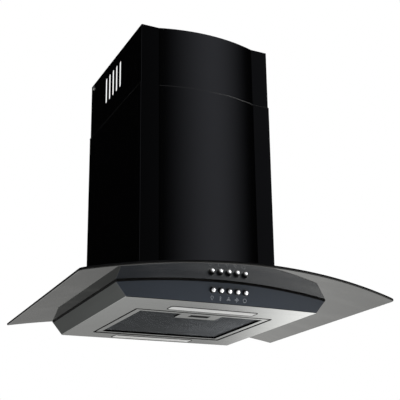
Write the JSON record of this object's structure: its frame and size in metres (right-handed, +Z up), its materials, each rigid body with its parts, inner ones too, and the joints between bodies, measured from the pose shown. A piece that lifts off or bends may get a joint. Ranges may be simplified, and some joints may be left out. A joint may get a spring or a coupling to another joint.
{
  "type": "chimney range hood",
  "caption": "Wall chimney range hood with a bent smoked glass canopy, telescopic black chimney, push buttons, lamps, swing-down grease filter, blower and duct collar.",
  "frame": {"origin": "on the wall plane, on the middle line, at the underside of the bottom plate", "axes": "+X to the right seen from the front, +Y into the wall, +Z up"},
  "size_m": [0.6, 0.5, 0.563],
  "materials": {
    "black_enamel": "gloss",
    "smoked_glass": "polished",
    "bottom_steel": "brushed",
    "body_steel": "brushed",
    "slate_fascia": "satin",
    "seal_rubber": "matte",
    "filter_aluminium": "satin",
    "black_plastic": "matte",
    "cap_chrome": "polished",
    "frosted_lens": "frosted",
    "galvanised_steel": "galvanised",
    "zinc_screw": "zinc plated",
    "motor_steel": "satin",
    "winding_copper": "varnished",
    "bush_bronze": "satin",
    "grey_plastic": "matte",
    "white_plastic": "satin",
    "board_white": "satin"
  },
  "bodies": {
    "hood_body": {"canopy_shell": "body_steel", "bottom_plate": "bottom_steel", "control_fascia": "slate_fascia", "glass_canopy": "smoked_glass", "glass_seal": "seal_rubber", "glass_spacers": "white_plastic", "glass_screws": "zinc_screw", "switch_bank": "black_plastic", "switch_screws": "zinc_screw", "scroll_right": "grey_plastic", "scroll_left": "grey_plastic", "motor_can": "motor_steel", "motor_end_cover": "motor_steel", "motor_bearings": "bush_bronze", "motor_stator": "winding_copper", "motor_bracket": "galvanised_steel", "motor_rubbers": "seal_rubber", "motor_screws": "zinc_screw", "motor_box": "galvanised_steel", "box_screws": "zinc_screw", "capacitor": "white_plastic", "terminal_box": "black_plastic", "terminal_lid": "black_plastic", "cable_gland": "black_plastic", "outlet_flange": "galvanised_steel", "outlet_spigot": "black_plastic", "spigot_screws": "zinc_screw", "damper_pin": "zinc_screw", "wall_bracket": "galvanised_steel", "lower_chimney": "black_enamel", "front_lamp_lens": "frosted_lens", "front_lamp_tray": "galvanised_steel", "front_led_board": "board_white", "rear_lamp_lens": "frosted_lens", "rear_lamp_tray": "galvanised_steel", "rear_led_board": "board_white"},
    "upper_chimney": {"upper_chimney": "black_enamel", "chimney_bracket": "galvanised_steel", "chimney_screws": "zinc_screw"},
    "blower_rotor": {"impeller": "grey_plastic", "motor_shaft": "zinc_screw", "impeller_nut": "zinc_screw", "motor_rotor": "motor_steel"},
    "damper_front": {"damper_flap_front": "grey_plastic"},
    "damper_rear": {"damper_flap_rear": "grey_plastic"},
    "filter": {"filter_frame": "bottom_steel", "filter_mesh_lower": "filter_aluminium", "filter_mesh_upper": "filter_aluminium", "latch_cover": "bottom_steel"},
    "filter_latch": {"filter_latch": "black_plastic"},
    "light_button": {"light_button": "black_plastic", "light_button_cap": "cap_chrome"},
    "low_speed_button": {"low_speed_button": "black_plastic", "low_speed_button_cap": "cap_chrome"},
    "middle_speed_button": {"middle_speed_button": "black_plastic", "middle_speed_button_cap": "cap_chrome"},
    "high_speed_button": {"high_speed_button": "black_plastic", "high_speed_button_cap": "cap_chrome"},
    "stop_button": {"stop_button": "black_plastic", "stop_button_cap": "cap_chrome"}
  },
  "joints": [
    {"name": "chimney_extension", "type": "slide", "parent": "hood_body", "child": "upper_chimney", "axis": [0, 0, 1], "range_m": [-0.105, 0.2]},
    {"name": "impeller_spin", "type": "hinge", "parent": "hood_body", "child": "blower_rotor", "pos_m": [0, -0.1123, 0.139], "axis": [1, 0, 0], "continuous": true},
    {"name": "damper_front_swing", "type": "hinge", "parent": "hood_body", "child": "damper_front", "pos_m": [0, -0.1688, 0.3032], "axis": [-1, 0, 0], "range_deg": [0, 78]},
    {"name": "damper_rear_swing", "type": "hinge", "parent": "hood_body", "child": "damper_rear", "pos_m": [0, -0.1688, 0.3032], "axis": [1, 0, 0], "range_deg": [0, 78]},
    {"name": "filter_swing", "type": "hinge", "parent": "hood_body", "child": "filter", "pos_m": [0, -0.0555, 0.0019], "axis": [1, 0, 0], "range_deg": [0, 75]},
    {"name": "latch_slide", "type": "slide", "parent": "filter", "child": "filter_latch", "axis": [0, -1, 0], "range_m": [0, 0.0045]},
    {"name": "light_press", "type": "slide", "parent": "hood_body", "child": "light_button", "axis": [0, 0.9847, 0.1745], "range_m": [0, 0.003], "stiffness_N_per_m": 300},
    {"name": "low_speed_press", "type": "slide", "parent": "hood_body", "child": "low_speed_button", "axis": [0, 0.9847, 0.1745], "range_m": [0, 0.003], "stiffness_N_per_m": 300},
    {"name": "middle_speed_press", "type": "slide", "parent": "hood_body", "child": "middle_speed_button", "axis": [0, 0.9847, 0.1745], "range_m": [0, 0.003], "stiffness_N_per_m": 300},
    {"name": "high_speed_press", "type": "slide", "parent": "hood_body", "child": "high_speed_button", "axis": [0, 0.9847, 0.1745], "range_m": [0, 0.003], "stiffness_N_per_m": 300},
    {"name": "stop_press", "type": "slide", "parent": "hood_body", "child": "stop_button", "axis": [0, 0.9847, 0.1745], "range_m": [0, 0.003], "stiffness_N_per_m": 300}
  ]
}
